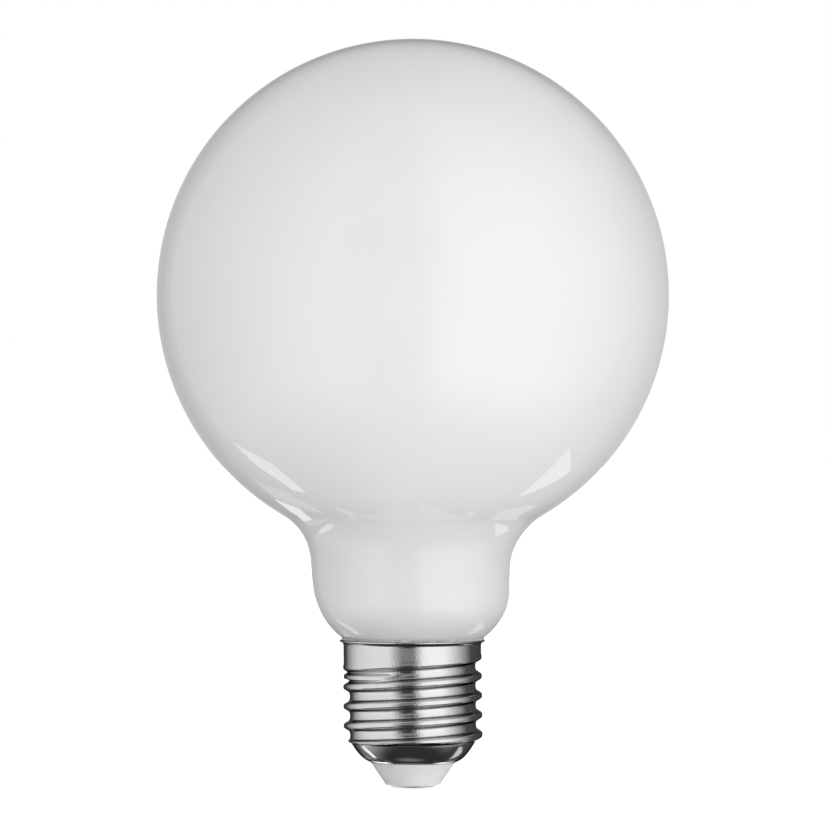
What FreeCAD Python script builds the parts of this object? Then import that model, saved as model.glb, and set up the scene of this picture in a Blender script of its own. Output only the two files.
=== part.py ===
import FreeCAD
import Part
import math
import os

from FreeCAD import Vector

# Globe bulb with a screw cap, standing cap down. Millimetres, +Z up along the bulb's axis.
# The origin is the middle of the centre contact's face.

# Centre contact: a button on a shank
CONTACT_RADIUS = 4.2
CONTACT_THICKNESS = 0.5
CONTACT_EDGE = 0.3
SHANK_RADIUS = 1.6
SHANK_LENGTH = 6.0

# Insulator: the moulded cone below the metal
INSULATOR_HEIGHT = 4.2
FOOT_MARGIN = 0.8
FOOT_EDGE = 0.7
INSULATOR_REVEAL = 0.1
COLLAR_LEDGE = 1.65
COLLAR_HEIGHT = 2.0

# Screw shell: one sheet with a rounded bottom, a rolled thread, a plain band and a flared lip
SHEET = 0.3
SHELL_RADIUS = 13.05
MOUTH_TURN_IN = 3.65
BOTTOM_ARC = 9.5
BOTTOM_ANGLE = 30.0
BOTTOM_STEP = 0.35
THREAD_PITCH = 3.629
THREAD_DEPTH = 1.1
RIDGE_WIDTH = 1.68
FLANK_ANGLE = 54.0
CREST_ARC = 0.75
ROOT_ARC = 0.6
LAST_CREST = 1.68
FIRST_GROOVE_TURNS = 3.0
FADE_TURNS = 0.25
RUN_OUT = 1.6
BAND_HEIGHT = 1.35
LIP_FLARE = 0.55

# Lead-in ridge: a short second ridge in the middle of the first groove
LEAD_IN_HALF_WIDTH = 1.0
LEAD_IN_RISE = 1.08
LEAD_IN_MIDDLE = 0.54
LEAD_IN_FULL = 0.13
LEAD_IN_END = 0.25

# Glass globe: ball, throat, neck, shoulder and the stub inside the cap
GLOBE_DIAMETER = 95.5
THROAT_ARC = 11.4
NECK_RADIUS = 18.6
NECK_HEIGHT = 4.3
NECK_TAPER = 3.5
SHOULDER_ARC = 12.5
LIP_GAP = 0.65
STUB_ARC = 2.5
STUB_CLEARANCE = 0.55
STUB_LENGTH = 14.0
STUB_EDGE = 0.8

# Capping cement: the ring between the stub and the shell, with its bead at the lip
CEMENT_ABOVE_THREAD = 0.15
BEAD_SETBACK = 0.3

# Fineness of the thread's surface
AROUND = 120
STEP = 0.18

# Sizes that follow from the fits
ROOT_RADIUS = SHELL_RADIUS - THREAD_DEPTH
LIP_RADIUS = SHELL_RADIUS + LIP_FLARE
BOTTOM_RADIUS = ROOT_RADIUS - BOTTOM_STEP
MOUTH_RADIUS = BOTTOM_RADIUS - MOUTH_TURN_IN
COLLAR_RADIUS = MOUTH_RADIUS + COLLAR_LEDGE
FOOT_RADIUS = CONTACT_RADIUS + FOOT_MARGIN
STUB_RADIUS = ROOT_RADIUS - SHEET - STUB_CLEARANCE
NECK_FOOT_RADIUS = NECK_RADIUS - NECK_HEIGHT * math.tan(math.radians(NECK_TAPER))
THREAD_ZONE = LAST_CREST + (FIRST_GROOVE_TURNS + 1 + FADE_TURNS) * THREAD_PITCH

AXIS = Vector(0, 0, 1)
ORIGIN = Vector(0, 0, 0)


def at(r, z):
    """Point of a section, on the +X side."""
    return Vector(r, 0, z)


def line(a, b):
    return Part.LineSegment(at(*a), at(*b)).toShape()


def arc(centre, radius, start, end):
    """Arc of a section between two angles in degrees, measured from +X towards +Z."""
    points = []
    for angle in (start, (start + end) / 2, end):
        turn = math.radians(angle)
        points.append(at(centre[0] + radius * math.cos(turn), centre[1] + radius * math.sin(turn)))
    return Part.Arc(*points).toShape()


def on(centre, radius, angle):
    """Section point on a circle at an angle in degrees."""
    turn = math.radians(angle)
    return (centre[0] + radius * math.cos(turn), centre[1] + radius * math.sin(turn))


def turned(edges):
    """Solid of revolution of a closed section."""
    face = Part.Face(Part.Wire(edges))
    return face.revolve(ORIGIN, AXIS, 360)


def levels():
    """Heights of the cap's stations, built up from the contact's face."""
    z = {}
    z["foot"] = CONTACT_THICKNESS
    z["mouth"] = z["foot"] + INSULATOR_HEIGHT
    top_x = BOTTOM_RADIUS - BOTTOM_ARC * math.cos(math.radians(BOTTOM_ANGLE))
    z["mouth_angle"] = math.degrees(math.acos((MOUTH_RADIUS - top_x) / BOTTOM_ARC))
    z["bottom_centre"] = z["mouth"] + BOTTOM_ARC * math.sin(math.radians(z["mouth_angle"]))
    z["bottom_top"] = z["bottom_centre"] - BOTTOM_ARC * math.sin(math.radians(BOTTOM_ANGLE))
    z["bottom_axis"] = top_x
    z["band"] = z["bottom_top"] + THREAD_ZONE
    lead_in_turns = FIRST_GROOVE_TURNS - 0.5 + LEAD_IN_MIDDLE
    z["lead_in"] = z["bottom_top"] + LAST_CREST + lead_in_turns * THREAD_PITCH
    z["flare"] = z["band"] + BAND_HEIGHT
    z["lip"] = z["flare"] + LIP_FLARE + SHEET
    taper = math.radians(NECK_TAPER)
    over_lip = LIP_RADIUS - NECK_FOOT_RADIUS + SHOULDER_ARC * math.cos(taper)
    shoulder_centre = z["lip"] + LIP_GAP + math.sqrt(SHOULDER_ARC**2 - over_lip**2)
    z["shoulder"] = shoulder_centre - SHOULDER_ARC * math.sin(taper)
    z["neck_top"] = z["shoulder"] + NECK_HEIGHT
    return z


Z = levels()
BOTTOM_CENTRE = (Z["bottom_axis"], Z["bottom_centre"])


def eased(x):
    """0 below 0, 1 above 1, smooth between."""
    x = min(max(x, 0.0), 1.0)
    return x * x * (3 - 2 * x)


def thread_wave(s, inset):
    """Radius of the endless thread at an axial distance from a crest. Inset is 0 outside, SHEET inside."""
    half = THREAD_PITCH / 2
    s = abs((s + half) % THREAD_PITCH - half)
    lean = math.radians(FLANK_ANGLE)
    run = THREAD_DEPTH / 2 / math.tan(lean)
    crest_s = RIDGE_WIDTH / 2 - run - CREST_ARC * math.tan(lean / 2)
    root_s = RIDGE_WIDTH / 2 + run + ROOT_ARC * math.tan(lean / 2)
    crest_z = SHELL_RADIUS - CREST_ARC
    root_z = ROOT_RADIUS + ROOT_ARC
    crest_r = CREST_ARC - inset
    root_r = ROOT_ARC + inset
    flank_top = crest_s + crest_r * math.sin(lean)
    flank_low = root_s - root_r * math.sin(lean)
    if s <= crest_s:
        return crest_z + crest_r
    if s <= flank_top:
        return crest_z + math.sqrt(crest_r**2 - (s - crest_s)**2)
    if s <= flank_low:
        return crest_z + crest_r * math.cos(lean) - (s - flank_top) * math.tan(lean)
    if s <= root_s:
        return root_z - math.sqrt(root_r**2 - (root_s - s)**2)
    return root_z - root_r


def wall_radius(turn, z, inset):
    """Radius of the threaded wall at a share of a turn from +X and a height."""
    above = z - Z["bottom_top"] - LAST_CREST
    along = above / THREAD_PITCH - turn
    r = thread_wave(along * THREAD_PITCH, inset)
    plain = SHELL_RADIUS - inset
    if along > FIRST_GROOVE_TURNS:
        groove = 1 - eased(turn / FADE_TURNS) if along < FIRST_GROOVE_TURNS + 1 else 0.0
        r = plain + (r - plain) * groove
    off = abs(turn - LEAD_IN_MIDDLE)
    reach = 1 - eased((off - LEAD_IN_FULL) / (LEAD_IN_END - LEAD_IN_FULL))
    bump = 1 - eased(abs(z - Z["lead_in"]) / LEAD_IN_HALF_WIDTH)
    root = ROOT_RADIUS - inset
    lead = LEAD_IN_RISE * reach * bump
    rise = max(r - root, 0.0)
    r = root + (rise**6 + lead**6)**(1 / 6)
    side = BOTTOM_ARC - inset
    drop = BOTTOM_CENTRE[1] - Z["bottom_top"]
    foot = BOTTOM_CENTRE[0] + math.sqrt(side**2 - drop**2)
    return foot + (r - foot) * eased((z - Z["bottom_top"]) / RUN_OUT)


def threaded_wall(inset):
    """One closed cubic surface through the threaded wall, from the rounded bottom to the band."""
    rows = max(8, round(THREAD_ZONE / STEP))
    swell = 3 / (2 + math.cos(2 * math.pi / AROUND))
    poles = []
    for i in range(AROUND):
        share = (i - 1) / AROUND
        angle = 2 * math.pi * share
        column = []
        for j in range(rows + 1):
            z = Z["bottom_top"] + THREAD_ZONE * j / rows
            r = wall_radius(share % 1.0, z, inset) * swell
            column.append(Vector(r * math.cos(angle), r * math.sin(angle), z))
        poles.append(column)
    surface = Part.BSplineSurface()
    surface.buildFromPolesMultsKnots(
        poles,
        [1] * (AROUND + 1),
        [4] + [1] * (rows - 3) + [4],
        list(range(AROUND + 1)),
        list(range(rows - 1)),
        True,
        False,
        3,
        3,
    )
    return surface.toShape()


def swept(edge):
    """Face that a section edge sweeps around the axis."""
    return edge.revolve(ORIGIN, AXIS, 360)


def make_screw_shell():
    faces = []
    for inset in (0.0, SHEET):
        plain = SHELL_RADIUS - inset
        bend = LIP_FLARE + inset
        side = BOTTOM_ARC - inset
        start = math.degrees(math.asin((BOTTOM_CENTRE[1] - Z["bottom_top"]) / side))
        faces.append(swept(arc((LIP_RADIUS, Z["flare"]), bend, 90, 180)))
        faces.append(swept(line((plain, Z["flare"]), (plain, Z["band"]))))
        faces.append(threaded_wall(inset))
        faces.append(swept(arc(BOTTOM_CENTRE, side, -start, -Z["mouth_angle"])))
    outer_mouth = on(BOTTOM_CENTRE, BOTTOM_ARC, -Z["mouth_angle"])
    inner_mouth = on(BOTTOM_CENTRE, BOTTOM_ARC - SHEET, -Z["mouth_angle"])
    faces.append(swept(line(outer_mouth, inner_mouth)))
    faces.append(swept(line((LIP_RADIUS, Z["lip"] - SHEET), (LIP_RADIUS, Z["lip"]))))
    shell = Part.makeShell(faces)
    shell.sewShape()
    solid = Part.Solid(shell)
    if solid.Volume < 0:
        solid.reverse()
    return solid


def make_insulator():
    side = BOTTOM_ARC - SHEET
    mouth = on(BOTTOM_CENTRE, side, -Z["mouth_angle"])
    rim = on(BOTTOM_CENTRE, BOTTOM_ARC - INSULATOR_REVEAL, -Z["mouth_angle"])
    collar_angle = math.degrees(math.acos((COLLAR_RADIUS - BOTTOM_CENTRE[0]) / side))
    collar = on(BOTTOM_CENTRE, side, -collar_angle)
    collar_top = collar[1] + COLLAR_HEIGHT
    foot = (FOOT_RADIUS, Z["foot"])
    lean = math.atan2(rim[0] - foot[0], rim[1] - foot[1])
    trim = FOOT_EDGE * math.tan((math.pi / 2 - lean) / 2)
    edge_mid = (foot[0] - trim, foot[1] + FOOT_EDGE)
    edge_turn = -math.degrees(lean)
    edge_end = on(edge_mid, FOOT_EDGE, edge_turn)
    edges = [
        line((SHANK_RADIUS, Z["foot"]), (edge_mid[0], Z["foot"])),
        arc(edge_mid, FOOT_EDGE, -90, edge_turn),
        line(edge_end, rim),
        line(rim, mouth),
        arc(BOTTOM_CENTRE, side, -Z["mouth_angle"], -collar_angle),
        line(collar, (collar[0], collar_top)),
        line((collar[0], collar_top), (SHANK_RADIUS, collar_top)),
        line((SHANK_RADIUS, collar_top), (SHANK_RADIUS, Z["foot"])),
    ]
    return turned(edges)


def make_centre_contact():
    edge_mid = (CONTACT_RADIUS - CONTACT_EDGE, CONTACT_EDGE)
    shank_top = Z["foot"] + SHANK_LENGTH
    edges = [
        line((0, 0), (edge_mid[0], 0)),
        arc(edge_mid, CONTACT_EDGE, -90, 0),
        line((CONTACT_RADIUS, CONTACT_EDGE), (CONTACT_RADIUS, Z["foot"])),
        line((CONTACT_RADIUS, Z["foot"]), (SHANK_RADIUS, Z["foot"])),
        line((SHANK_RADIUS, Z["foot"]), (SHANK_RADIUS, shank_top)),
        line((SHANK_RADIUS, shank_top), (0, shank_top)),
        line((0, shank_top), (0, 0)),
    ]
    return turned(edges)


def make_glass_globe():
    ball = GLOBE_DIAMETER / 2
    neck_top = (NECK_RADIUS, Z["neck_top"])
    neck_foot = (NECK_FOOT_RADIUS, Z["shoulder"])
    throat = on(neck_top, THROAT_ARC, -NECK_TAPER)
    ball_z = throat[1] + math.sqrt((ball + THROAT_ARC)**2 - throat[0]**2)
    meet = math.degrees(math.atan2(throat[1] - ball_z, throat[0]))
    shoulder = on(neck_foot, SHOULDER_ARC, 180 - NECK_TAPER)
    stub_x = STUB_RADIUS + STUB_ARC
    reach = SHOULDER_ARC + STUB_ARC
    stub_z = shoulder[1] - math.sqrt(reach**2 - (stub_x - shoulder[0])**2)
    turn_in = math.degrees(math.atan2(stub_z - shoulder[1], stub_x - shoulder[0]))
    foot_z = Z["lip"] - STUB_LENGTH
    edges = [
        arc((0, ball_z), ball, 90, meet),
        arc(throat, THROAT_ARC, meet + 180, 180 - NECK_TAPER),
        line(neck_top, neck_foot),
        arc(shoulder, SHOULDER_ARC, -NECK_TAPER, turn_in),
        arc((stub_x, stub_z), STUB_ARC, turn_in + 180, 180),
        line((STUB_RADIUS, stub_z), (STUB_RADIUS, foot_z + STUB_EDGE)),
        arc((STUB_RADIUS - STUB_EDGE, foot_z + STUB_EDGE), STUB_EDGE, 0, -90),
        line((STUB_RADIUS - STUB_EDGE, foot_z), (0, foot_z)),
        line((0, foot_z), (0, ball_z + ball)),
    ]
    return turned(edges)


def make_capping_cement(globe):
    inner = SHELL_RADIUS - SHEET
    bend = LIP_FLARE + SHEET
    low = Z["band"] + CEMENT_ABOVE_THREAD
    high = Z["shoulder"]
    stop = 90 + math.degrees(math.asin(BEAD_SETBACK / bend))
    brim = on((LIP_RADIUS, Z["flare"]), bend, stop)
    edges = [
        line((0, low), (inner, low)),
        line((inner, low), (inner, Z["flare"])),
        arc((LIP_RADIUS, Z["flare"]), bend, 180, stop),
        line(brim, (brim[0], high)),
        line((brim[0], high), (0, high)),
        line((0, high), (0, low)),
    ]
    return turned(edges).cut(globe).Solids[0]


def main():
    os.makedirs("parts", exist_ok=True)
    globe = make_glass_globe()
    pieces = {
        "glass_globe": globe,
        "capping_cement": make_capping_cement(globe),
        "screw_shell": make_screw_shell(),
        "insulator": make_insulator(),
        "centre_contact": make_centre_contact(),
    }
    for node, shape in pieces.items():
        shape.exportStep("parts/" + node + ".step")


main()
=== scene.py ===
import math

import bmesh
import bpy
import numpy
from bpy.props import FloatProperty, FloatVectorProperty, PointerProperty
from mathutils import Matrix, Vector, noise


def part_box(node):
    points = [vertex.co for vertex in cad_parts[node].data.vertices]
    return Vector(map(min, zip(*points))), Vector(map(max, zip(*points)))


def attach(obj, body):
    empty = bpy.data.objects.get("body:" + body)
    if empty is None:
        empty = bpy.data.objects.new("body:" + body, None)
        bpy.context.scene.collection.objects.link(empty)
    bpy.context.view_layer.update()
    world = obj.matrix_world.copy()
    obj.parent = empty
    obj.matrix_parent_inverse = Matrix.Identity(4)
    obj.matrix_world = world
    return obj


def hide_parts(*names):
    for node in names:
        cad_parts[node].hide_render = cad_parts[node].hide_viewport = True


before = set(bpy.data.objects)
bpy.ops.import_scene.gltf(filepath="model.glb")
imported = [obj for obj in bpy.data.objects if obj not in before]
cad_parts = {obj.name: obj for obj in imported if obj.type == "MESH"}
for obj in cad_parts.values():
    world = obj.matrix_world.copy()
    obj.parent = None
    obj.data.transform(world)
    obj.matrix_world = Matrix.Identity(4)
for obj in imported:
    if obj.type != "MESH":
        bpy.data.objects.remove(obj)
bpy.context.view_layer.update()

bl_info = {
    "name": "Globe bulb",
    "version": (1, 0, 0),
    "blender": (4, 5, 0),
    "location": "3D View > Sidebar > Globe bulb",
    "description": "Opal globe bulb with a plated screw cap, and its studio",
    "category": "Object",
}

MM = 0.001
BLACK = (0.0, 0.0, 0.0, 1.0)
GLOBE_LOW, GLOBE_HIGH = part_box("glass_globe")
CAP_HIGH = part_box("screw_shell")[1]
CEMENT_LOW, CEMENT_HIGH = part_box("capping_cement")
STUB_RADIUS = 11.1 * MM
CAP_SHEET = 0.3 * MM
PICTURE_WIDTH = 828
CARD_REACH = 0.95
# Greys of the tent by degrees round it: 0 is at the camera, 90 to the camera's right.
# A long panel at the left with a sharp back edge, and a brighter one at the right.
TENT_PANELS = (
    (-180, 0.05), (-164, 0.1), (-150, 0.19), (-141, 0.26), (-136.6, 0.31), (-135.4, 0.45), (-126, 0.5),
    (-113, 0.63), (-102, 0.71), (-84, 0.77), (-62, 0.8), (-39, 0.8), (-18, 0.05), (2, 0.04), (17, 0.94),
    (28, 1.0), (56, 1.0), (87, 0.46), (114, 0.07), (137, 0.1), (152, 0.13), (180, 0.04))
# At eye level only: the pale backdrop, seen at the rim of the glass, and the room beside the camera.
TENT_EYE_LEVEL = (
    (-180, 0.45), (-168, 0.27), (-158, 0.12), (-149, 0.0), (-34, 0.0), (-18, 0.19), (2, 0.17), (14, 0.0),
    (140, 0.0), (157, 0.15), (169, 0.28), (180, 0.45))
# Cards that show in reflections only: share of the card level, and corners as azimuth and elevation.
CARD_SHARES = {"lit": 1.0, "dim": 0.4, "faint": 0.36, "half": 0.65, "bright": 0.8, "strong": 4.0}
CARDS = (
    ("low_card_left", "lit", (
        (-132.5, -29), (-126.5, -38), (-125, -44), (-133, -48.5), (-139, -49.5), (-141, -44), (-136.5, -41.5),
        (-135.2, -35.5))),
    ("low_card_right", "half", ((121, -38.5), (142, -33), (143, -48.3), (133, -46.2), (125, -42.5))),
    ("far_card_left", "bright", (
        (-157, -27.5), (-156.4, -31), (-155.5, -35.8), (-161, -33), (-163.5, -26))),
    ("table_left", "faint", (
        (-149.5, -27.5), (-145, -39.5), (-150, -44), (-155.5, -44), (-154.5, -37), (-155.5, -28))),
    ("table_right", "faint", (
        (157.5, -31), (153.5, -37.5), (152.5, -45), (155, -46.5), (159, -43), (160.5, -32.5))),
    # The edge round the insulator mirrors these two at a low angle, which takes most of their light.
    ("mouth_card_left", "strong", (
        (-167.5, -26), (-176.5, -26), (-177, -46), (-164, -44), (-164.5, -34))),
    ("mouth_card_right", "strong", (
        (167.5, -26), (176.5, -26), (177, -46), (164.5, -43), (165, -34))),
    ("back_card_left", "dim", ((-149, -53.5), (-157.5, -56.5), (-157.5, -52.5), (-153, -52))),
    ("back_card_right", "dim", ((157.5, -58), (154.5, -57), (155.5, -53.5), (158, -54))),
)


def linear(code):
    """Linear colour with alpha from an sRGB hex code."""
    values = []
    for k in (1, 3, 5):
        v = int(code[k:k + 2], 16) / 255
        values.append(v / 12.92 if v <= 0.04045 else ((v + 0.055) / 1.055) ** 2.4)
    return (*values, 1.0)


def add(tree, kind, inputs=None, stops=None, **settings):
    """Add a node with its settings and, for a ramp, its stops of place and grey; set or link its inputs."""
    made = tree.nodes.new(kind)
    for key, value in settings.items():
        setattr(made, key, value)
    for key, value in (inputs or {}).items():
        if isinstance(value, bpy.types.NodeSocket):
            tree.links.new(value, made.inputs[key])
        else:
            made.inputs[key].default_value = value
    if stops:
        elements = made.color_ramp.elements
        while len(elements) < len(stops):
            elements.new(0.5)
        for element, (place, grey) in zip(elements, stops):
            element.position = place
            element.color = (grey, grey, grey, 1.0)
    return made


def new_material(name):
    """Empty node material and its tree."""
    material = bpy.data.materials.new(name)
    material.use_nodes = True
    material.node_tree.nodes.clear()
    return material, material.node_tree


def dress(node, material):
    """Give a CAD node a better material."""
    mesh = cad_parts[node].data
    mesh.materials.clear()
    mesh.materials.append(material)
    for face in mesh.polygons:
        face.material_index = 0


def arc(centre, radius, start, end, spacing):
    """Section points along an arc between two angles in degrees, about one spacing apart."""
    count = max(3, round(abs(math.radians(end - start)) * radius / spacing))
    points = []
    for k in range(count + 1):
        turn = math.radians(start + (end - start) * k / count)
        points.append((centre[0] + radius * math.cos(turn), centre[1] + radius * math.sin(turn)))
    return points


def straight(a, b, spacing):
    """Section points along a line."""
    count = max(1, round(math.dist(a, b) / spacing))
    return [(a[0] + (b[0] - a[0]) * k / count, a[1] + (b[1] - a[1]) * k / count) for k in range(count + 1)]


def joined(*runs):
    """One run of section points, without the points that repeat."""
    points = []
    for run in runs:
        for point in run:
            if not points or math.dist(point, points[-1]) > 1e-7:
                points.append(point)
    return points


def new_object(name, mesh, material):
    """Object in the scene with one material."""
    piece = bpy.data.objects.new(name, mesh)
    bpy.context.scene.collection.objects.link(piece)
    mesh.materials.append(material)
    return piece


def turned(name, section, segments, material, shift=None):
    """Closed body turned about Z from a section between two places on the axis, or a loop clear of it."""
    build = bmesh.new()
    rings = []
    for row, (r, z) in enumerate(section):
        if r < 1e-9:
            rings.append([build.verts.new((0, 0, z))])
            continue
        ring = []
        for k in range(segments):
            turn = 2 * math.pi * k / segments
            dr, dz = shift(row, turn) if shift else (0, 0)
            ring.append(build.verts.new(((r + dr) * math.cos(turn), (r + dr) * math.sin(turn), z + dz)))
        rings.append(ring)
    closed = len(rings[0]) > 1
    for k in range(len(rings) if closed else len(rings) - 1):
        a = rings[k]
        b = rings[(k + 1) % len(rings)]
        for j in range(segments):
            n = (j + 1) % segments
            if len(a) == 1:
                corners = (a[0], b[j], b[n])
            elif len(b) == 1:
                corners = (a[j], b[0], a[n])
            else:
                corners = (a[j], b[j], b[n], a[n])
            build.faces.new(corners)
    bmesh.ops.recalc_face_normals(build, faces=build.faces)
    for face in build.faces:
        face.smooth = True
    mesh = bpy.data.meshes.new(name)
    build.to_mesh(mesh)
    build.free()
    return new_object(name, mesh, material)


class GlassGlobeSettings(bpy.types.PropertyGroup):
    diameter: FloatProperty(
        name="Diameter", description="Ball of the globe", unit="LENGTH", default=GLOBE_HIGH[0] - GLOBE_LOW[0])
    throat: FloatProperty(
        name="Throat", description="Arc from the ball to the neck", unit="LENGTH", default=11.4 * MM)
    neck: FloatProperty(
        name="Neck", description="Radius at the top of the neck", unit="LENGTH", default=18.6 * MM)
    neck_height: FloatProperty(
        name="Neck height", description="Straight part of the neck", unit="LENGTH", default=4.3 * MM)
    taper: FloatProperty(
        name="Taper", description="Lean of the neck", subtype="ANGLE", default=math.radians(3.5))
    shoulder: FloatProperty(
        name="Shoulder", description="Arc from the neck towards the cap", unit="LENGTH", default=12.5 * MM)
    stub_arc: FloatProperty(
        name="Stub arc", description="Arc from the shoulder into the cap", unit="LENGTH", default=2.5 * MM)
    stub: FloatProperty(
        name="Stub", description="Radius of the glass inside the cap", unit="LENGTH", default=STUB_RADIUS)
    neck_shift: FloatProperty(
        name="Neck shift", description="How far the blown neck sits off the axis", unit="LENGTH",
        default=-0.4 * MM)
    spacing: FloatProperty(
        name="Spacing", description="Distance between the rows of the mesh", unit="LENGTH", default=1.0 * MM)
    colour: FloatVectorProperty(
        name="Opal", description="Body colour of the opal glass", subtype="COLOR", size=4,
        default=linear("#F4F4F3"))


class CapSettings(bpy.types.PropertyGroup):
    plate: FloatVectorProperty(
        name="Plate", description="Nickel plate of the screw cap", subtype="COLOR", size=4,
        default=linear("#C4C4C4"))
    contact: FloatVectorProperty(
        name="Contact", description="Tin plate of the contact", subtype="COLOR", size=4,
        default=linear("#BEBDBB"))
    insulator: FloatVectorProperty(
        name="Insulator", description="Moulded insulator", subtype="COLOR", size=4, default=linear("#D6D6D5"))
    cement: FloatVectorProperty(
        name="Cement", description="Capping cement", subtype="COLOR", size=4, default=linear("#D2D2D0"))
    bead_swell: FloatProperty(
        name="Bead swell", description="Unevenness of the cement bead", unit="LENGTH", default=0.14 * MM)


class ThreadSettings(bpy.types.PropertyGroup):
    radius: FloatProperty(
        name="Radius", description="Crests of the thread", unit="LENGTH", default=12.97 * MM)
    band_inset: FloatProperty(
        name="Band inset", description="How far the plain band lies inside the crests", unit="LENGTH",
        default=0.1 * MM)
    pitch: FloatProperty(
        name="Pitch", description="Rise of the thread in one turn", unit="LENGTH", default=3.629 * MM)
    depth: FloatProperty(
        name="Depth", description="From crest to root", unit="LENGTH", default=1.2 * MM)
    flank: FloatProperty(
        name="Flank", description="Slope of the flanks", subtype="ANGLE", default=math.radians(58))
    crest_arc: FloatProperty(
        name="Crest arc", description="Rounding of the crests", unit="LENGTH", default=0.5 * MM)
    fillet: FloatProperty(
        name="Fillet", description="Rounding between flank and root", unit="LENGTH", default=0.3 * MM)
    root_arc: FloatProperty(
        name="Root arc", description="Hollow of the wide roots", unit="LENGTH", default=1.84 * MM)
    root_slope: FloatProperty(
        name="Root slope", description="Slope at the edge of a root", subtype="ANGLE",
        default=math.radians(22))
    askew: FloatProperty(
        name="Askew", description="How far the rolled thread is out of true", subtype="ANGLE",
        default=math.radians(0.6))
    foot: FloatProperty(
        name="Foot", description="Height where the thread starts above the rounded bottom", unit="LENGTH",
        default=8.275 * MM)
    zone: FloatProperty(
        name="Zone", description="Height of the threaded wall", unit="LENGTH", default=17.1 * MM)
    mouth_bead: FloatProperty(
        name="Mouth bead", description="Radius of the rolled edge round the insulator", unit="LENGTH",
        default=0.25 * MM)
    lip_arc: FloatProperty(
        name="Lip arc", description="Hollow below the flared lip", unit="LENGTH", default=0.8 * MM)
    dents: FloatProperty(
        name="Dents", description="Unevenness of the rolled lip", unit="LENGTH", default=0.05 * MM)


class StageSettings(bpy.types.PropertyGroup):
    camera_distance: FloatProperty(
        name="Camera distance", description="From the bulb's axis", unit="LENGTH", default=1.0)
    camera_height: FloatProperty(
        name="Camera height", description="Eye level above the floor", unit="LENGTH", default=69.7 * MM)
    pixels_per_metre: FloatProperty(
        name="Scale", description="Picture scale at the bulb's axis, in pixels a metre", default=5359.0)
    tent_level: FloatProperty(
        name="Tent level", description="Brightest cloth of the light tent", default=1.57)
    card_level: FloatProperty(
        name="Card level", description="Brightness of the low left card, which the others are shares of",
        default=2.0)
    even_level: FloatProperty(
        name="Even level", description="Even light of the tent on surfaces that aren't mirrors", default=0.71)
    lamp_power: FloatProperty(
        name="Lamp power", description="Soft lamp to the right of the camera, in watts", default=6.0)
    snoot_power: FloatProperty(
        name="Snoot power", description="Narrow lamp on the right of the insulator, in watts", default=0.3)
    floor: FloatVectorProperty(
        name="Floor", description="Pale floor", subtype="COLOR", size=4, default=linear("#D9D9D9"))
    floor_lift: FloatProperty(
        name="Floor lift", description="Light that the floor near the bulb adds to its own for the picture",
        default=0.72)


def opal_glass(settings):
    """Blown opal glass: a clean glass skin over milky white, so a mirror-sharp gloss on a soft white body."""
    material, tree = new_material("opal_glass_blown")
    place = add(tree, "ShaderNodeTexCoord").outputs["Object"]
    # The blown wall is a little uneven over 30 mm, which bends the edges of reflections.
    swell = add(tree, "ShaderNodeTexNoise", {"Vector": place, "Scale": 1 / (30 * MM), "Detail": 1.0})
    # The opal flashing is a touch thinner in clouds about 18 mm across.
    cloud = add(tree, "ShaderNodeTexNoise", {"Vector": place, "Scale": 1 / (18 * MM), "Detail": 3.0})
    tone = add(tree, "ShaderNodeMapRange", {
        "Value": cloud.outputs["Fac"], "From Min": 0.3, "From Max": 0.7, "To Min": 0.985, "To Max": 1.0})
    # Painted shade: less light reaches the neck and comes back out of it, so its colour is painted greyer
    # than the ball, most of all at the cap.
    height = add(tree, "ShaderNodeSeparateXYZ", {"Vector": place})
    neck = add(tree, "ShaderNodeMapRange", {
        "Value": height.outputs["Z"], "From Min": 43 * MM, "From Max": 56 * MM, "To Min": 0.9, "To Max": 1.0},
        interpolation_type="SMOOTHSTEP")
    foot = add(tree, "ShaderNodeMapRange", {
        "Value": height.outputs["Z"], "From Min": 27 * MM, "From Max": 35 * MM,
        "To Min": 0.86, "To Max": 1.0}, interpolation_type="SMOOTHSTEP")
    grey = add(tree, "ShaderNodeMath", {0: neck.outputs["Result"], 1: foot.outputs["Result"]},
               operation="MULTIPLY")
    # The painted shade of the neck and cap, times the real clouding of the opal.
    painted_shade_and_cloud = add(tree, "ShaderNodeMath", {0: grey.outputs["Value"], 1: tone.outputs["Result"]},
                operation="MULTIPLY")
    body = add(tree, "ShaderNodeMix", {
        "Factor": painted_shade_and_cloud.outputs["Value"], "A": BLACK, "B": settings.colour}, data_type="RGBA")
    # Handling leaves a faint film in patches about 9 mm across, which dulls the gloss slightly.
    film = add(tree, "ShaderNodeTexNoise", {"Vector": place, "Scale": 1 / (9 * MM), "Detail": 4.0})
    gloss = add(tree, "ShaderNodeMapRange", {
        "Value": film.outputs["Fac"], "From Min": 0.35, "From Max": 0.75, "To Min": 0.012, "To Max": 0.035})
    bump = add(tree, "ShaderNodeBump", {
        "Height": swell.outputs["Fac"], "Strength": 1.0, "Distance": 0.05 * MM})
    shader = add(tree, "ShaderNodeBsdfPrincipled", {
        "Base Color": body.outputs["Result"],
        "Roughness": gloss.outputs["Result"],
        "IOR": 1.5,
        "Subsurface Weight": 0.35,
        "Subsurface Radius": (1.0, 1.0, 1.0),
        "Subsurface Scale": 6 * MM,
        "Normal": bump.outputs["Normal"],
    })
    add(tree, "ShaderNodeOutputMaterial", {"Surface": shader.outputs["BSDF"]})
    return material


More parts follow.
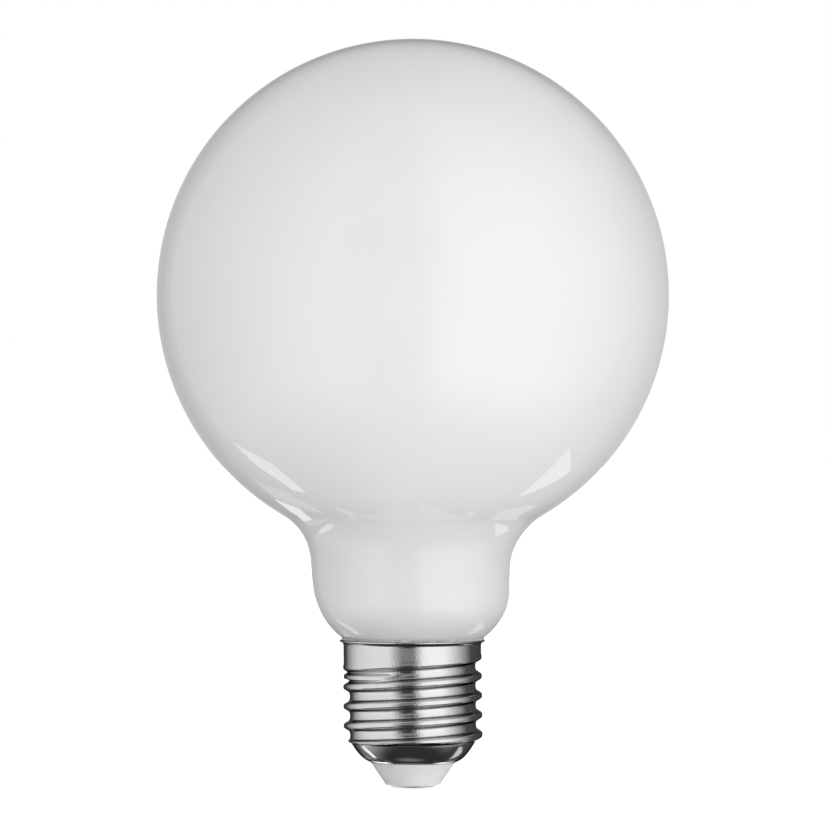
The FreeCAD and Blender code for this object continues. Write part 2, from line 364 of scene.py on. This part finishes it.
def nickel_plate(settings):
    """Bright nickel on rolled sheet: mirror-like, with turned grain, fine pits and a handling haze."""
    material, tree = new_material("nickel_plate_rolled")
    place = add(tree, "ShaderNodeTexCoord").outputs["Object"]
    # Turning grain runs round the cap in lines about 0.25 mm apart, coarser than life so that it shows.
    rings = add(tree, "ShaderNodeMapping", {"Vector": place, "Scale": (0.02, 0.02, 1.0)})
    grain = add(tree, "ShaderNodeTexNoise", {
        "Vector": rings.outputs["Vector"], "Scale": 1 / (0.25 * MM), "Detail": 2.0})
    # Pits and specks in the plate, about 0.35 mm across.
    speck = add(tree, "ShaderNodeTexNoise", {"Vector": place, "Scale": 1 / (0.35 * MM), "Detail": 3.0})
    # Handling haze in patches about 3 mm across.
    haze = add(tree, "ShaderNodeTexNoise", {"Vector": place, "Scale": 1 / (3 * MM), "Detail": 4.0})
    rough = add(tree, "ShaderNodeMapRange", {
        "Value": haze.outputs["Fac"], "From Min": 0.3, "From Max": 0.75, "To Min": 0.05, "To Max": 0.1})
    fine = add(tree, "ShaderNodeMath", {0: speck.outputs["Fac"], 1: 5.0, 2: grain.outputs["Fac"]},
               operation="MULTIPLY_ADD")
    # The drawn bottom is smoother than the rolled wall.
    height = add(tree, "ShaderNodeSeparateXYZ", {"Vector": place})
    rolled = add(tree, "ShaderNodeMapRange", {
        "Value": height.outputs["Z"], "From Min": 7.5 * MM, "From Max": 9 * MM,
        "To Min": 0.25, "To Max": 1.0})
    fine = add(tree, "ShaderNodeMath", {0: fine.outputs["Value"], 1: rolled.outputs["Result"]},
               operation="MULTIPLY")
    bump = add(tree, "ShaderNodeBump", {
        "Height": fine.outputs["Value"], "Strength": 1.0, "Distance": 0.005 * MM})
    tone = add(tree, "ShaderNodeMapRange", {
        "Value": speck.outputs["Fac"], "From Min": 0.35, "From Max": 0.6, "To Min": 0.97, "To Max": 1.0})
    colour = add(tree, "ShaderNodeMix", {
        "Factor": tone.outputs["Result"], "A": BLACK, "B": settings.plate}, data_type="RGBA")
    shader = add(tree, "ShaderNodeBsdfPrincipled", {
        "Base Color": colour.outputs["Result"],
        "Metallic": 1.0,
        "Roughness": rough.outputs["Result"],
        "Specular Tint": (0.13, 0.13, 0.13, 1.0),
        "Normal": bump.outputs["Normal"],
    })
    add(tree, "ShaderNodeOutputMaterial", {"Surface": shader.outputs["BSDF"]})
    return material


def tin_plate(settings):
    """Tin plate on a stamped button: soft satin metal with stamping rings."""
    material, tree = new_material("tin_plate_stamped")
    place = add(tree, "ShaderNodeTexCoord").outputs["Object"]
    # Stamping rings about 0.3 mm apart, by the distance from the axis.
    flat = add(tree, "ShaderNodeVectorMath", {0: place, 1: (1.0, 1.0, 0.0)}, operation="MULTIPLY")
    reach = add(tree, "ShaderNodeVectorMath", {0: flat.outputs["Vector"]}, operation="LENGTH")
    turn = add(tree, "ShaderNodeMath", {0: reach.outputs["Value"], 1: 1 / (0.3 * MM)}, operation="MULTIPLY")
    rings = add(tree, "ShaderNodeTexNoise", {"W": turn.outputs["Value"], "Scale": 1.0, "Detail": 2.0},
                noise_dimensions="1D")
    # Dull specks in the tin, about 0.5 mm across.
    speck = add(tree, "ShaderNodeTexNoise", {"Vector": place, "Scale": 1 / (0.5 * MM), "Detail": 3.0})
    rough = add(tree, "ShaderNodeMapRange", {
        "Value": speck.outputs["Fac"], "From Min": 0.3, "From Max": 0.7, "To Min": 0.22, "To Max": 0.4})
    bump = add(tree, "ShaderNodeBump", {
        "Height": rings.outputs["Fac"], "Strength": 1.0, "Distance": 0.008 * MM})
    tone = add(tree, "ShaderNodeMapRange", {
        "Value": speck.outputs["Fac"], "From Min": 0.3, "From Max": 0.6, "To Min": 0.88, "To Max": 1.0})
    colour = add(tree, "ShaderNodeMix", {
        "Factor": tone.outputs["Result"], "A": BLACK, "B": settings.contact}, data_type="RGBA")
    shader = add(tree, "ShaderNodeBsdfPrincipled", {
        "Base Color": colour.outputs["Result"],
        "Metallic": 1.0,
        "Roughness": rough.outputs["Result"],
        "Specular Tint": (0.15, 0.15, 0.15, 1.0),
        "Normal": bump.outputs["Normal"],
    })
    add(tree, "ShaderNodeOutputMaterial", {"Surface": shader.outputs["BSDF"]})
    return material


def moulded_insulator(settings):
    """Moulded white polyester: a satin skin with a fine mould texture and slightly cloudy colour."""
    material, tree = new_material("polyester_white_moulded")
    place = add(tree, "ShaderNodeTexCoord").outputs["Object"]
    # Mould texture with a grit of 0.2 mm, coarser than life so that it shows.
    grit = add(tree, "ShaderNodeTexNoise", {"Vector": place, "Scale": 1 / (0.2 * MM), "Detail": 2.0})
    # The filler clouds the colour in patches about 2.5 mm across.
    cloud = add(tree, "ShaderNodeTexNoise", {"Vector": place, "Scale": 1 / (2.5 * MM), "Detail": 3.0})
    tone = add(tree, "ShaderNodeMapRange", {
        "Value": cloud.outputs["Fac"], "From Min": 0.3, "From Max": 0.7, "To Min": 0.94, "To Max": 1.0})
    colour = add(tree, "ShaderNodeMix", {
        "Factor": tone.outputs["Result"], "A": BLACK, "B": settings.insulator}, data_type="RGBA")
    rough = add(tree, "ShaderNodeMapRange", {
        "Value": cloud.outputs["Fac"], "From Min": 0.3, "From Max": 0.7, "To Min": 0.38, "To Max": 0.5})
    bump = add(tree, "ShaderNodeBump", {
        "Height": grit.outputs["Fac"], "Strength": 1.0, "Distance": 0.006 * MM})
    shader = add(tree, "ShaderNodeBsdfPrincipled", {
        "Base Color": colour.outputs["Result"],
        "Roughness": rough.outputs["Result"],
        "IOR": 1.5,
        "Normal": bump.outputs["Normal"],
    })
    add(tree, "ShaderNodeOutputMaterial", {"Surface": shader.outputs["BSDF"]})
    return material


def dried_cement(settings):
    """Baked capping cement: chalky, gritty and uneven in tone."""
    material, tree = new_material("capping_cement_baked")
    place = add(tree, "ShaderNodeTexCoord").outputs["Object"]
    # Mineral grit about 0.3 mm across.
    grit = add(tree, "ShaderNodeTexNoise", {"Vector": place, "Scale": 1 / (0.3 * MM), "Detail": 4.0})
    # Baking leaves it uneven in tone over about 1.6 mm.
    blotch = add(tree, "ShaderNodeTexNoise", {"Vector": place, "Scale": 1 / (1.6 * MM), "Detail": 3.0})
    tone = add(tree, "ShaderNodeMapRange", {
        "Value": blotch.outputs["Fac"], "From Min": 0.3, "From Max": 0.7, "To Min": 0.6, "To Max": 1.0})
    colour = add(tree, "ShaderNodeMix", {
        "Factor": tone.outputs["Result"], "A": BLACK, "B": settings.cement}, data_type="RGBA")
    bump = add(tree, "ShaderNodeBump", {
        "Height": grit.outputs["Fac"], "Strength": 1.0, "Distance": 0.04 * MM})
    shader = add(tree, "ShaderNodeBsdfPrincipled", {
        "Base Color": colour.outputs["Result"],
        "Roughness": 0.9,
        "Normal": bump.outputs["Normal"],
    })
    add(tree, "ShaderNodeOutputMaterial", {"Surface": shader.outputs["BSDF"]})
    return material


class BULB_OT_glass_globe(bpy.types.Operator):
    """Blow the globe: ball, throat, neck, shoulder and stub as one body"""
    bl_idname = "bulb.glass_globe"
    bl_label = "Glass globe"

    def execute(self, context):
        s = context.scene.bulb_globe
        ball = s.diameter / 2
        ball_z = GLOBE_HIGH[2] - ball
        lean = math.degrees(s.taper)
        # The throat's centre lies a ball's radius and a throat's radius from the ball's centre.
        throat_x = s.neck + s.throat * math.cos(s.taper)
        throat_z = ball_z - math.sqrt((ball + s.throat) ** 2 - throat_x ** 2)
        neck_top = (s.neck, throat_z + s.throat * math.sin(s.taper))
        neck_foot = (s.neck - s.neck_height * math.tan(s.taper), neck_top[1] - s.neck_height)
        meet = math.degrees(math.atan2(throat_z - ball_z, throat_x))
        shoulder = (neck_foot[0] - s.shoulder * math.cos(s.taper),
                    neck_foot[1] + s.shoulder * math.sin(s.taper))
        stub_x = s.stub + s.stub_arc
        stub_z = shoulder[1] - math.sqrt((s.shoulder + s.stub_arc) ** 2 - (stub_x - shoulder[0]) ** 2)
        turn_in = math.degrees(math.atan2(stub_z - shoulder[1], stub_x - shoulder[0]))
        foot = GLOBE_LOW[2]
        edge = 0.8 * MM
        section = joined(
            [(0, ball_z + ball)],
            arc((0, ball_z), ball, 89.5, meet, s.spacing),
            arc((throat_x, throat_z), s.throat, meet + 180, 180 - lean, s.spacing * 0.6),
            straight(neck_top, neck_foot, s.spacing),
            arc(shoulder, s.shoulder, -lean, turn_in, s.spacing * 0.6),
            arc((stub_x, stub_z), s.stub_arc, turn_in + 180, 180, s.spacing * 0.3),
            straight((s.stub, stub_z), (s.stub, foot + edge), s.spacing * 2),
            arc((s.stub - edge, foot + edge), edge, 0, -90, s.spacing * 0.4),
            [(0, foot)],
        )
        globe = turned("opal_globe", section, 240, opal_glass(s))
        # The neck was drawn a little to one side of the ball and the cap.
        middle = (neck_top[1] + neck_foot[1]) / 2 + 1.5 * MM
        for vert in globe.data.vertices:
            off = (vert.co.z - middle) / (8.5 * MM)
            vert.co.x += s.neck_shift * max(0.0, 1 - off * off) ** 2
        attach(globe, "root")
        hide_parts("glass_globe")
        return {"FINISHED"}


class BULB_OT_capping_cement(bpy.types.Operator):
    """Lay the cement ring with its uneven bead above the lip"""
    bl_idname = "bulb.capping_cement"
    bl_label = "Capping cement"

    def execute(self, context):
        s = context.scene.bulb_cap
        low = CEMENT_LOW[2]
        inner = STUB_RADIUS
        wall = 12.74 * MM
        lip = CAP_HIGH[2]
        bead = CEMENT_HIGH[0]
        section = [
            (inner, low), (wall, low), (wall, lip - 0.85 * MM), (wall + 0.12 * MM, lip - 0.45 * MM),
            (bead - 0.2 * MM, lip - 0.08 * MM), (bead, lip + 0.06 * MM), (bead, lip + 0.2 * MM),
            (bead - 0.05 * MM, lip + 0.34 * MM), (bead - 0.3 * MM, lip + 0.42 * MM), (inner, lip + 0.3 * MM),
        ]

        def uneven(row, turn):
            if row < 4 or row == len(section) - 1:
                return (0, 0)
            round_place = Vector((math.cos(turn), math.sin(turn), row * 0.12))
            broad = noise.noise(round_place * 4.0)
            fine = noise.noise(round_place * 16.0)
            out = s.bead_swell * (0.7 * broad + 0.6 * fine)
            return (min(out, 0.25 * MM), 0.3 * out)

        ring = turned("cement_bead", section, 300, dried_cement(s), uneven)
        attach(ring, "root")
        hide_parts("capping_cement")
        return {"FINISHED"}


def eased(x):
    """0 below 0, 1 above 1, smooth between."""
    x = min(max(x, 0.0), 1.0)
    return x * x * (3 - 2 * x)


def thread_section(s):
    """Half a pitch of the thread, from mid crest to mid root, as distances and radii."""
    half = s.pitch / 2
    flank = math.degrees(s.flank)
    slope = math.degrees(s.root_slope)
    root = (half, s.radius - s.depth + s.root_arc)
    reach = s.root_arc - s.fillet
    fillet = (half - reach * math.sin(s.root_slope), root[1] - reach * math.cos(s.root_slope))
    rise = s.radius - s.crest_arc * (1 - math.cos(s.flank)) - fillet[1] + s.fillet * math.cos(s.flank)
    flank_foot = fillet[0] - s.fillet * math.sin(s.flank)
    crest = (flank_foot - rise / math.tan(s.flank) - s.crest_arc * math.sin(s.flank), s.radius - s.crest_arc)
    points = joined(
        arc(crest, s.crest_arc, 90, 90 - flank, 0.03 * MM),
        arc(fillet, s.fillet, -90 - flank, -90 - slope, 0.03 * MM),
        arc(root, s.root_arc, -90 - slope, -90, 0.06 * MM),
    )
    return [point[0] for point in points], [point[1] for point in points]


def thread_wall(s, section, foot_radius, turn, z):
    """Radius of the threaded wall at a share of a turn from +X and a height."""
    half = s.pitch / 2
    first_crest = 1.58 * MM
    along = (z - s.foot - first_crest) / s.pitch - turn
    r = numpy.interp(abs((along * s.pitch + half) % s.pitch - half), *section)
    if along > 3.0:
        # The top groove fades into the plain band over a quarter turn.
        fade = eased(turn / 0.25)
        inset = eased((along - 3.0) / 0.25) * fade
        if along > 4.0:
            r, inset = s.radius, max(eased((along - 4.0) / 0.25), fade)
        r = s.radius - s.band_inset * inset + (r - s.radius) * (1 - fade)
    # The lead-in is a short level ridge in the first groove, steep below and easy above.
    lead_height, lead_rise, lead_top = 20.85 * MM, 1.1 * MM, 0.25 * MM
    reach = eased((turn - 0.29) / 0.12) * (1 - eased((turn - 0.6) / 0.15))
    off = z - lead_height
    fall = 0.9 * MM if off > 0 else 0.5 * MM
    lead = lead_rise * reach * (1 - eased((abs(off) - lead_top) / fall))
    root = s.radius - s.depth
    rise = max(r - root, 0.0)
    # The higher of the thread and the lead-in, with the corner between them rounded.
    r = root + (rise ** 6 + lead ** 6) ** (1 / 6)
    run_out = 0.8 * MM
    return foot_radius + (r - foot_radius) * eased((z - s.foot) / run_out)


class BULB_OT_screw_cap(bpy.types.Operator):
    """Roll the screw cap: beaded mouth, rounded bottom, thread, plain band and flared lip"""
    bl_idname = "bulb.screw_cap"
    bl_label = "Screw cap"

    def execute(self, context):
        s = context.scene.bulb_thread
        foot_radius = s.radius - s.depth - 0.285 * MM
        band_radius = s.radius - s.band_inset
        thread = thread_section(s)
        # The rounded bottom turns in easily at first and then faster, by degrees from upright.
        upper, lower = 13.5 * MM, 5 * MM
        top_turn, knee_turn, mouth_turn = 30, 41, 68
        start, turn_over = math.radians(top_turn), math.radians(knee_turn)
        bowl = (foot_radius - upper * math.cos(start), s.foot + upper * math.sin(start))
        knee = (bowl[0] + (upper - lower) * math.cos(turn_over),
                bowl[1] - (upper - lower) * math.sin(turn_over))
        bead = (7.75 * MM, 4.96 * MM)
        band = s.foot + s.zone
        edge = 0.17 * MM
        flare_turn = 75
        flare = math.radians(flare_turn)
        lip_high = (s.lip_arc + edge) * math.sin(flare) + edge
        hollow = (band_radius + s.lip_arc, CAP_HIGH[2] - lip_high)
        nose = (hollow[0] - (s.lip_arc + edge) * math.cos(flare), CAP_HIGH[2] - edge)
        rows = round(s.zone / (0.1 * MM))
        wall = [(foot_radius, s.foot + s.zone * k / rows) for k in range(1, rows)]
        inside = s.radius - s.depth - 0.35 * MM
        section = joined(
            arc(bead, s.mouth_bead, -170, -80, 0.05 * MM),
            arc(knee, lower, -mouth_turn, -knee_turn, 0.2 * MM),
            arc(bowl, upper, -knee_turn, -top_turn, 0.25 * MM),
        )
        first = len(section)
        section = joined(section, wall)
        last = len(section)
        section = joined(
            section,
            straight((band_radius, band), (band_radius, hollow[1]), 0.4 * MM),
            arc(hollow, s.lip_arc, 180, 180 - flare_turn, 0.08 * MM),
        )
        lip = len(section) - 6
        section = joined(
            section,
            arc(nose, edge, -flare_turn, 180 - flare_turn, 0.06 * MM),
            [(band_radius - CAP_SHEET, hollow[1]), (band_radius - CAP_SHEET, band)],
            [(inside, band - 0.6 * MM), (inside, s.foot + 1.0 * MM)],
            arc(bowl, upper - CAP_SHEET, -top_turn - 1, -knee_turn, 0.6 * MM),
            arc(knee, lower - CAP_SHEET, -knee_turn, -mouth_turn + 2, 0.6 * MM),
        )

        def formed(row, turn):
            if first <= row < last:
                wall_radius = thread_wall(s, thread, foot_radius, turn / (2 * math.pi), section[row][1])
                return (wall_radius - section[row][0], 0)
            if row > lip and section[row][0] > band_radius:
                place = Vector((math.cos(turn), math.sin(turn), 0))
                dent = s.dents * (noise.noise(place * 5.0) + 0.7 * noise.noise(place * 19.0))
                return (dent, 0.6 * dent)
            return (0, 0)

        cap = turned("rolled_cap", section, 320, nickel_plate(context.scene.bulb_cap), formed)
        # The rolled wall leans by a fraction of a degree, and the mouth and the lip stay level.
        lean = math.tan(s.askew)
        for vert in cap.data.vertices:
            x, z = vert.co.x, vert.co.z
            level = eased((z - 4.5 * MM) / (3 * MM)) * (1 - eased((z - 22 * MM) / (4 * MM)))
            vert.co.x = x - (z - 16 * MM) * lean
            vert.co.z = z + x * lean * level
        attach(cap, "root")
        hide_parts("screw_shell")
        return {"FINISHED"}


class BULB_OT_insulator(bpy.types.Operator):
    """Finish the moulded insulator"""
    bl_idname = "bulb.insulator"
    bl_label = "Insulator"

    def execute(self, context):
        dress("insulator", moulded_insulator(context.scene.bulb_cap))
        return {"FINISHED"}


class BULB_OT_centre_contact(bpy.types.Operator):
    """Stamp the domed contact with its shank"""
    bl_idname = "bulb.centre_contact"
    bl_label = "Centre contact"

    def execute(self, context):
        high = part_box("centre_contact")[1]
        reach = high[0]
        shank = 1.6 * MM
        seat = 0.5 * MM
        rim = 0.34 * MM
        dome = (reach ** 2 + rim ** 2) / (2 * rim)
        half = math.degrees(math.asin(reach / dome))
        section = joined(
            arc((0, dome), dome, -90, -90 + half, 0.3 * MM),
            [(reach + 0.03 * MM, rim + 0.05 * MM), (reach + 0.03 * MM, seat - 0.04 * MM), (reach, seat)],
            [(shank, seat), (shank, high[2]), (0, high[2])],
        )
        button = turned("contact_button", section, 120, tin_plate(context.scene.bulb_cap))
        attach(button, "root")
        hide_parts("centre_contact")
        return {"FINISHED"}


def tent_cloth(level, even):
    """Translucent tent cloth: soft even light, and in mirror reflections the panels behind the cloth."""
    material, tree = new_material("tent_cloth_lit")
    material.cycles.emission_sampling = "NONE"
    place = add(tree, "ShaderNodeTexCoord").outputs["Object"]
    # The turned gradient runs once round the tent, with the camera's side at its middle.
    turned_place = add(tree, "ShaderNodeMapping", {"Vector": place, "Rotation": (0, 0, math.radians(90))})
    around = add(tree, "ShaderNodeTexGradient", {"Vector": turned_place.outputs["Vector"]},
                 gradient_type="RADIAL")
    high = add(tree, "ShaderNodeSeparateXYZ", {"Vector": place})

    panels = add(tree, "ShaderNodeValToRGB", {"Fac": around.outputs["Color"]},
                 [(0.5 + turn / 360, grey) for turn, grey in TENT_PANELS])
    above = add(tree, "ShaderNodeMapRange", {
        "Value": high.outputs["Z"], "From Min": 0.3, "From Max": 1.0, "To Min": 1.0, "To Max": 0.3},
        interpolation_type="SMOOTHSTEP")
    below = add(tree, "ShaderNodeMapRange", {
        "Value": high.outputs["Z"], "From Min": -0.92, "From Max": -0.5, "To Min": 0.0, "To Max": 1.0},
        interpolation_type="SMOOTHSTEP")
    lit = add(tree, "ShaderNodeMath", {0: above.outputs["Result"], 1: below.outputs["Result"]},
              operation="MULTIPLY")
    # The panels look a little brighter where they near the table.
    table = add(tree, "ShaderNodeMapRange", {
        "Value": high.outputs["Z"], "From Min": -0.5, "From Max": -0.1, "To Min": 1.1, "To Max": 1.0},
        interpolation_type="SMOOTHSTEP")
    lit = add(tree, "ShaderNodeMath", {0: lit.outputs["Value"], 1: table.outputs["Result"]},
              operation="MULTIPLY")
    faded = add(tree, "ShaderNodeMix", {
        "Factor": lit.outputs["Value"], "A": (0.03, 0.03, 0.03, 1.0), "B": panels.outputs["Color"]},
        data_type="RGBA", clamp_factor=False)

    eye_level = add(tree, "ShaderNodeValToRGB", {"Fac": around.outputs["Color"]},
                    [(0.5 + turn / 360, grey) for turn, grey in TENT_EYE_LEVEL])
    off_level = add(tree, "ShaderNodeMath", {0: high.outputs["Z"]}, operation="ABSOLUTE")
    strip = add(tree, "ShaderNodeMapRange", {
        "Value": off_level.outputs["Value"], "From Min": 0.1, "From Max": 0.4, "To Min": 1.0, "To Max": 0.0},
        interpolation_type="SMOOTHSTEP")
    mirrored = add(tree, "ShaderNodeMix", {
        "Factor": strip.outputs["Result"], "A": faded.outputs["Result"], "B": eye_level.outputs["Color"]},
        data_type="RGBA", blend_type="ADD")

    # Some light comes down from the top of the tent.
    top = add(tree, "ShaderNodeMapRange", {
        "Value": high.outputs["Z"], "From Min": 0.35, "From Max": 0.8, "To Min": 0.0, "To Max": 0.32},
        interpolation_type="SMOOTHSTEP")
    mirrored = add(tree, "ShaderNodeMix", {
        "Factor": 1.0, "A": mirrored.outputs["Result"], "B": top.outputs["Result"]},
        data_type="RGBA", blend_type="ADD")
    # A faint glow comes from straight below.
    low_off = add(tree, "ShaderNodeVectorMath", {0: place, 1: (-0.05, 0.17, -0.985)}, operation="DISTANCE")
    low_glow = add(tree, "ShaderNodeMapRange", {
        "Value": low_off.outputs["Value"], "From Min": 0.05, "From Max": 0.3, "To Min": 0.13, "To Max": 0.0},
        interpolation_type="SMOOTHSTEP")
    mirrored = add(tree, "ShaderNodeMix", {
        "Factor": 1.0, "A": mirrored.outputs["Result"], "B": low_glow.outputs["Result"]},
        data_type="RGBA", blend_type="ADD")
    scaled = add(tree, "ShaderNodeVectorMath", {0: mirrored.outputs["Result"], "Scale": level},
                 operation="SCALE")
    path = add(tree, "ShaderNodeLightPath")
    # The even light is weaker from below, and a little weaker from straight above.
    soft = add(tree, "ShaderNodeMapRange", {
        "Value": high.outputs["Z"], "From Min": -0.8, "From Max": 0.2, "To Min": 0.8 * even, "To Max": even})
    over = add(tree, "ShaderNodeMapRange", {
        "Value": high.outputs["Z"], "From Min": 0.2, "From Max": 1.0, "To Min": 1.0, "To Max": 0.92})
    soft = add(tree, "ShaderNodeMath", {0: soft.outputs["Result"], 1: over.outputs["Result"]},
               operation="MULTIPLY")
    light = add(tree, "ShaderNodeMix", {
        "Factor": path.outputs["Is Diffuse Ray"], "A": scaled.outputs["Vector"], "B": soft.outputs["Value"]},
        data_type="RGBA")
    glow = add(tree, "ShaderNodeEmission", {"Color": light.outputs["Result"], "Strength": 1.0})
    add(tree, "ShaderNodeOutputMaterial", {"Surface": glow.outputs["Emission"]})
    return material


def card_level(name, level):
    """Card that shows one even level."""
    material, tree = new_material(name)
    material.cycles.emission_sampling = "NONE"
    glow = add(tree, "ShaderNodeEmission", {"Strength": level})
    add(tree, "ShaderNodeOutputMaterial", {"Surface": glow.outputs["Emission"]})
    return material


def pale_floor(colour, lift):
    """Matt pale floor that reads white in the picture and keeps the bulb's shadow."""
    material, tree = new_material("floor_paint_matt")
    path = add(tree, "ShaderNodeLightPath")
    seen = add(tree, "ShaderNodeMath", {0: path.outputs["Is Camera Ray"], 1: path.outputs["Is Glossy Ray"]},
               operation="MAXIMUM")
    seen = add(tree, "ShaderNodeMath", {0: seen.outputs["Value"], 1: path.outputs["Is Transmission Ray"]},
               operation="MAXIMUM")
    place = add(tree, "ShaderNodeTexCoord").outputs["Object"]
    reach = add(tree, "ShaderNodeVectorMath", {0: place}, operation="LENGTH")
    grown = add(tree, "ShaderNodeMapRange", {
        "Value": reach.outputs["Value"], "From Min": 0.1, "From Max": 0.5, "To Min": lift, "To Max": 1.0},
        interpolation_type="SMOOTHSTEP")
    strength = add(tree, "ShaderNodeMath", {0: seen.outputs["Value"], 1: grown.outputs["Result"]},
                   operation="MULTIPLY")
    paint = add(tree, "ShaderNodeBsdfDiffuse", {"Color": colour})
    glow = add(tree, "ShaderNodeEmission", {"Strength": strength.outputs["Value"]})
    both = add(tree, "ShaderNodeAddShader", {0: paint.outputs["BSDF"], 1: glow.outputs["Emission"]})
    add(tree, "ShaderNodeOutputMaterial", {"Surface": both.outputs["Shader"]})
    return material


def disc(name, radius, z, segments, material):
    """Flat round sheet."""
    build = bmesh.new()
    bmesh.ops.create_circle(build, cap_ends=True, segments=segments, radius=radius)
    mesh = bpy.data.meshes.new(name)
    build.to_mesh(mesh)
    build.free()
    sheet = new_object(name, mesh, material)
    sheet.location.z = z
    return sheet


def tent_point(azimuth, elevation, radius):
    """Place about the bulb by degrees: azimuth 0 is towards the camera and 90 to its right."""
    turn = math.radians(azimuth)
    rise = math.radians(elevation)
    level = math.cos(rise)
    return Vector((math.sin(turn) * level, -math.cos(turn) * level, math.sin(rise))) * radius


def card(name, corners, material):
    """Flat card that shows in reflections only."""
    mesh = bpy.data.meshes.new(name)
    mesh.from_pydata(corners, [], [tuple(range(len(corners)))])
    sheet = new_object(name, mesh, material)
    sheet.visible_camera = False
    sheet.visible_diffuse = False
    sheet.visible_shadow = False
    return sheet


def lamp(name, kind, power, aim, offset, **settings):
    """Lamp that points at its aim, and isn't seen in the picture or in reflections."""
    data = bpy.data.lights.new(name, kind)
    data.energy = power
    for key, value in settings.items():
        setattr(data, key, value)
    made = bpy.data.objects.new(name, data)
    made.location = aim + offset
    made.rotation_euler = (aim - made.location).to_track_quat("-Z", "Y").to_euler()
    made.visible_glossy = False
    made.visible_camera = False
    bpy.context.scene.collection.objects.link(made)


class BULB_OT_stage(bpy.types.Operator):
    """Set up the floor, the light tent and the camera"""
    bl_idname = "bulb.stage"
    bl_label = "Stage"

    def execute(self, context):
        s = context.scene.bulb_stage
        scene = context.scene
        scene.view_settings.view_transform = "Standard"
        world = bpy.data.worlds.new("studio_white")
        world.use_nodes = True
        background = world.node_tree.nodes["Background"]
        background.inputs["Color"].default_value = (1.0, 1.0, 1.0, 1.0)
        background.inputs["Strength"].default_value = 1.0
        scene.world = world

        # The tent lights the bulb from all round as if it hung there, and the floor only takes its shadow.
        floor = disc("floor", 6.0, -0.05 * MM, 96, pale_floor(s.floor, s.floor_lift))
        floor.visible_glossy = False
        floor.visible_diffuse = False
        floor.visible_shadow = False

        eye = Vector((0, 0, s.camera_height))
        build = bmesh.new()
        bmesh.ops.create_uvsphere(build, u_segments=96, v_segments=48, radius=1.0)
        mesh = bpy.data.meshes.new("light_tent")
        build.to_mesh(mesh)
        build.free()
        tent = new_object("light_tent", mesh, tent_cloth(s.tent_level, s.even_level))
        tent.location = eye
        tent.visible_camera = False
        tent.visible_shadow = False
        whites = {kind: card_level("card_white_" + kind, share * s.card_level)
                  for kind, share in CARD_SHARES.items()}
        for name, kind, corners in CARDS:
            places = [eye + tent_point(azimuth, elevation, CARD_REACH) for azimuth, elevation in corners]
            card(name, places, whites[kind])

        lamp("soft_lamp", "AREA", s.lamp_power, eye, tent_point(25, -8, 1.3), size=0.8)
        insulator = Vector((0, 0, 2 * MM))
        lamp("snoot_lamp", "SPOT", s.snoot_power, insulator, tent_point(45, -25, 0.15),
             spot_size=math.radians(11), spot_blend=1.0, shadow_soft_size=0.01)

        data = bpy.data.cameras.new("photo_camera")
        data.sensor_width = 36.0
        data.lens = s.pixels_per_metre * s.camera_distance * data.sensor_width / PICTURE_WIDTH
        data.clip_start = 0.01
        camera = bpy.data.objects.new("photo_camera", data)
        camera.location = (0.22 * MM, -s.camera_distance, s.camera_height)
        camera.rotation_euler = (math.pi / 2, 0.0, 0.0)
        scene.collection.objects.link(camera)
        scene.camera = camera
        return {"FINISHED"}


class BULB_PT_sidebar(bpy.types.Panel):
    """Sizes and colours of the globe bulb"""
    bl_idname = "BULB_PT_sidebar"
    bl_label = "Globe bulb"
    bl_space_type = "VIEW_3D"
    bl_region_type = "UI"
    bl_category = "Globe bulb"

    def draw(self, context):
        for group in GROUPS:
            for name in group.__annotations__:
                self.layout.prop(getattr(context.scene, GROUPS[group]), name)
        for operator in OPERATORS:
            self.layout.operator(operator.bl_idname)


GROUPS = {GlassGlobeSettings: "bulb_globe", CapSettings: "bulb_cap", ThreadSettings: "bulb_thread",
          StageSettings: "bulb_stage"}
OPERATORS = (
    BULB_OT_glass_globe,
    BULB_OT_capping_cement,
    BULB_OT_screw_cap,
    BULB_OT_insulator,
    BULB_OT_centre_contact,
    BULB_OT_stage,
)


def register():
    for item in (*GROUPS, *OPERATORS, BULB_PT_sidebar):
        bpy.utils.register_class(item)
    for group, name in GROUPS.items():
        setattr(bpy.types.Scene, name, PointerProperty(type=group))


def unregister():
    for name in GROUPS.values():
        delattr(bpy.types.Scene, name)
    for item in reversed((*GROUPS, *OPERATORS, BULB_PT_sidebar)):
        bpy.utils.unregister_class(item)


def main():
    register()
    bpy.ops.bulb.glass_globe()
    bpy.ops.bulb.capping_cement()
    bpy.ops.bulb.screw_cap()
    bpy.ops.bulb.insulator()
    bpy.ops.bulb.centre_contact()
    bpy.ops.bulb.stage()


if __name__ == "__main__":
    main()
